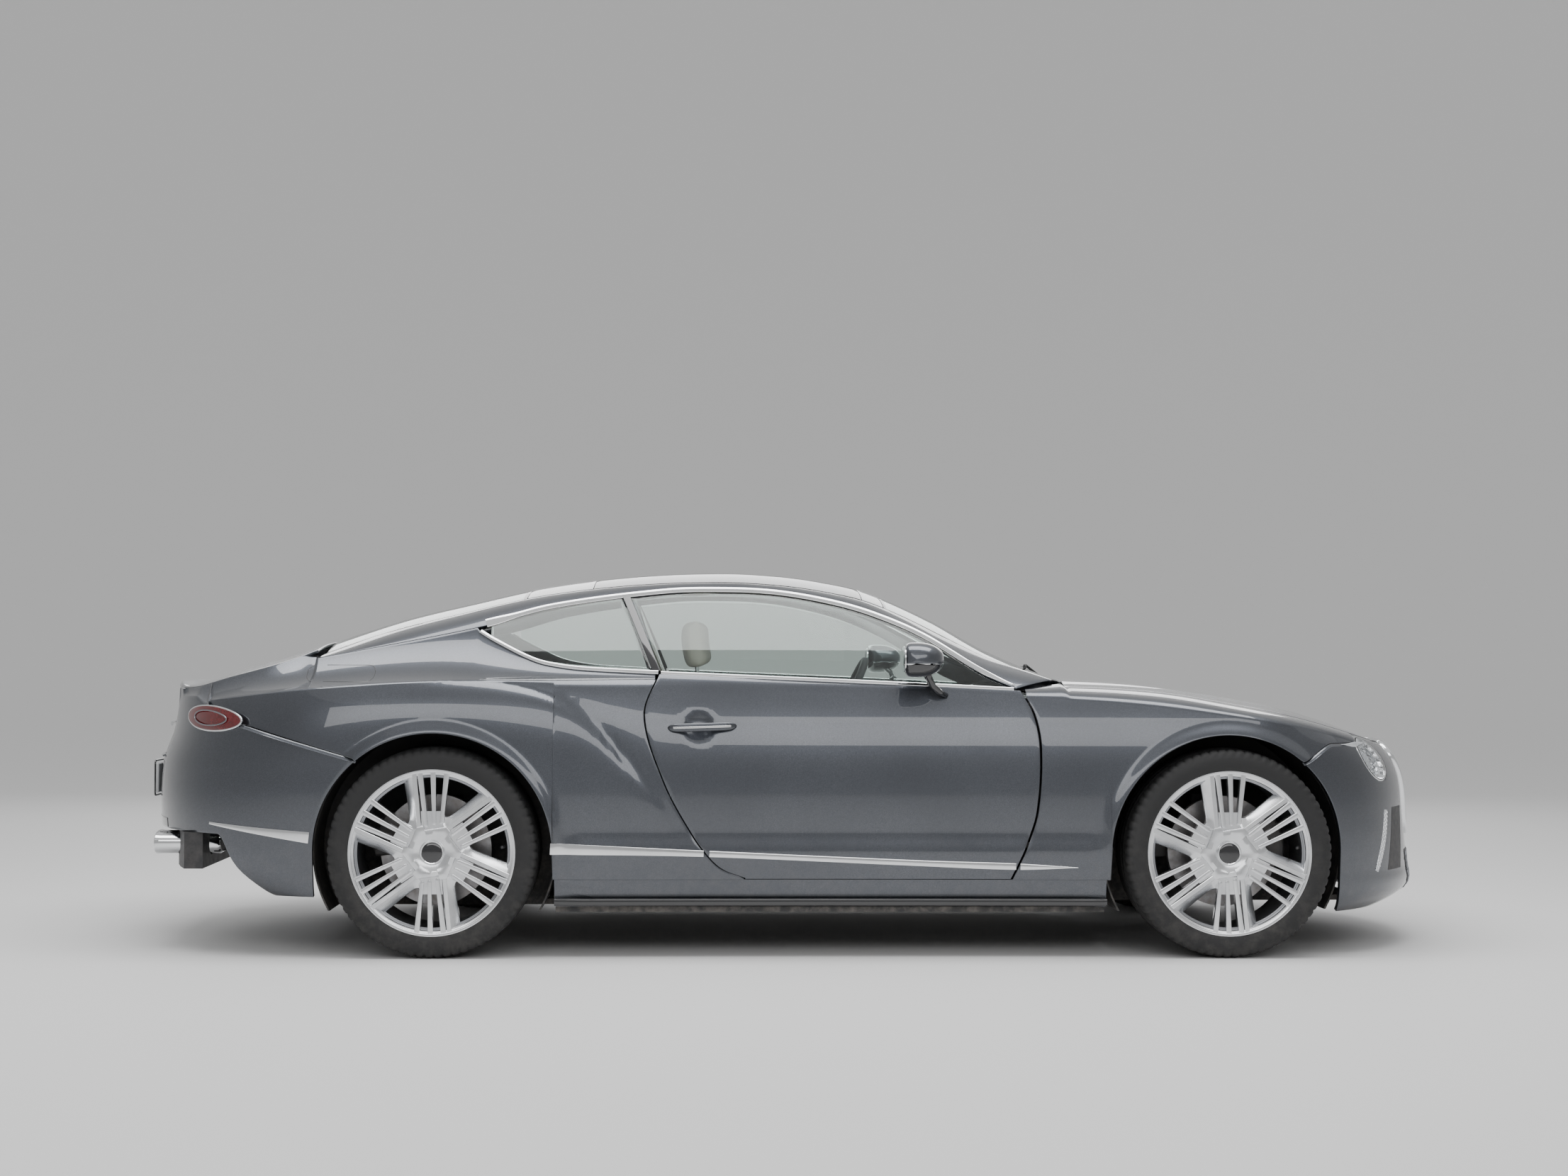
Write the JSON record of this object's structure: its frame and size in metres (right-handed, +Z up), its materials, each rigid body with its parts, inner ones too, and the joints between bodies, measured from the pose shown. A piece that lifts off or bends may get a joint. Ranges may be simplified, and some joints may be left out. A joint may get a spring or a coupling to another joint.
{
  "type": "coupe car",
  "caption": "Two-door luxury coupe car with opening doors, bonnet and boot lid, steered front wheels, turning wheels and a furnished cabin.",
  "frame": {"origin": "centre of the underside of the car's bounding box, on the ground between the wheels", "axes": "+X forward to the nose, +Y to the driver's left, +Z up"},
  "size_m": [4.8519, 2.176, 1.4019],
  "materials": {
    "paint": "metallic clearcoat",
    "trim_black": "gloss",
    "black_plastic": "matte",
    "steel": "satin",
    "glass": "clear, tinted",
    "dark_glass": "dark tint",
    "chrome": "polished",
    "alloy": "machined and lacquered",
    "tyre": "matte",
    "lamp": "clear lens",
    "red_lens": "clear red",
    "leather": "fine grain",
    "cast": "rough cast"
  },
  "bodies": {
    "root": {"floor_pan": "steel", "side_sills": "black_plastic", "front_fenders": "paint", "rear_quarters": "paint", "roof_pillars": "paint", "roof_panels": "paint", "roof_glass": "dark_glass", "windscreen": "glass", "rear_window": "glass", "quarter_windows": "glass", "front_bumper": "paint", "grille": "trim_black", "rear_bumper": "paint", "rear_diffuser": "black_plastic", "headlamps": "lamp", "tail_lamps": "red_lens", "exhaust_tips": "chrome", "wheel_arch_liners": "black_plastic", "bulkheads": "steel", "dashboard": "black_plastic", "front_seats": "leather", "rear_seats": "leather", "centre_console": "black_plastic", "engine": "cast", "front_subframe": "cast", "rear_axle": "cast"},
    "bonnet": {"bonnet": "paint"},
    "boot_lid": {"boot_lid": "paint"},
    "door_left": {"door_left": "paint", "door_glass_left": "glass", "mirror_left": "paint"},
    "door_right": {"door_right": "paint", "door_glass_right": "glass", "mirror_right": "paint"},
    "steering_wheel": {"steering_wheel": "black_plastic"},
    "knuckle_left": {"knuckle_left": "cast"},
    "knuckle_right": {"knuckle_right": "cast"},
    "wheel_front_left": {"wheel_front_left": "alloy", "tyre_front_left": "tyre"},
    "wheel_front_right": {"wheel_front_right": "alloy", "tyre_front_right": "tyre"},
    "wheel_rear_left": {"wheel_rear_left": "alloy", "tyre_rear_left": "tyre"},
    "wheel_rear_right": {"wheel_rear_right": "alloy", "tyre_rear_right": "tyre"}
  },
  "joints": [
    {"name": "bonnet_hinge", "type": "hinge", "parent": "root", "child": "bonnet", "pos_m": [1.03, 0, 0.943], "axis": [0, -1, 0], "range_deg": [0, 50]},
    {"name": "boot_hinge", "type": "hinge", "parent": "root", "child": "boot_lid", "pos_m": [-1.786, 0, 1.064], "axis": [0, 1, 0], "range_deg": [0, 70]},
    {"name": "door_left_hinge", "type": "hinge", "parent": "root", "child": "door_left", "pos_m": [0.848, 0.905, 0.4], "axis": [0, 0.0817, -0.9967], "range_deg": [0, 62]},
    {"name": "door_right_hinge", "type": "hinge", "parent": "root", "child": "door_right", "pos_m": [0.848, -0.905, 0.4], "axis": [0, 0.0817, 0.9967], "range_deg": [0, 62]},
    {"name": "steer_left", "type": "hinge", "parent": "root", "child": "knuckle_left", "pos_m": [1.55, 0.76, 0.375], "axis": [0, 0, 1], "range_deg": [-32, 32]},
    {"name": "steer_right", "type": "hinge", "parent": "root", "child": "knuckle_right", "pos_m": [1.55, -0.76, 0.375], "axis": [0, 0, 1], "range_deg": [-32, 32]},
    {"name": "steering_wheel_turn", "type": "hinge", "parent": "root", "child": "steering_wheel", "pos_m": [0.254, 0.38, 0.905], "axis": [-0.9063, 0, 0.4226], "range_deg": [-448, 448]},
    {"name": "spin_front_left", "type": "hinge", "parent": "knuckle_left", "child": "wheel_front_left", "pos_m": [1.55, 0.832, 0.375], "axis": [0, 1, 0], "continuous": true},
    {"name": "spin_front_right", "type": "hinge", "parent": "knuckle_right", "child": "wheel_front_right", "pos_m": [1.55, -0.832, 0.375], "axis": [0, 1, 0], "continuous": true},
    {"name": "spin_rear_left", "type": "hinge", "parent": "root", "child": "wheel_rear_left", "pos_m": [-1.301, 0.822, 0.375], "axis": [0, 1, 0], "continuous": true},
    {"name": "spin_rear_right", "type": "hinge", "parent": "root", "child": "wheel_rear_right", "pos_m": [-1.301, -0.822, 0.375], "axis": [0, 1, 0], "continuous": true}
  ],
  "couplings": [
    {"joint": "steer_right", "follows": "steer_left", "ratio": 1},
    {"joint": "steering_wheel_turn", "follows": "steer_left", "ratio": 14}
  ]
}
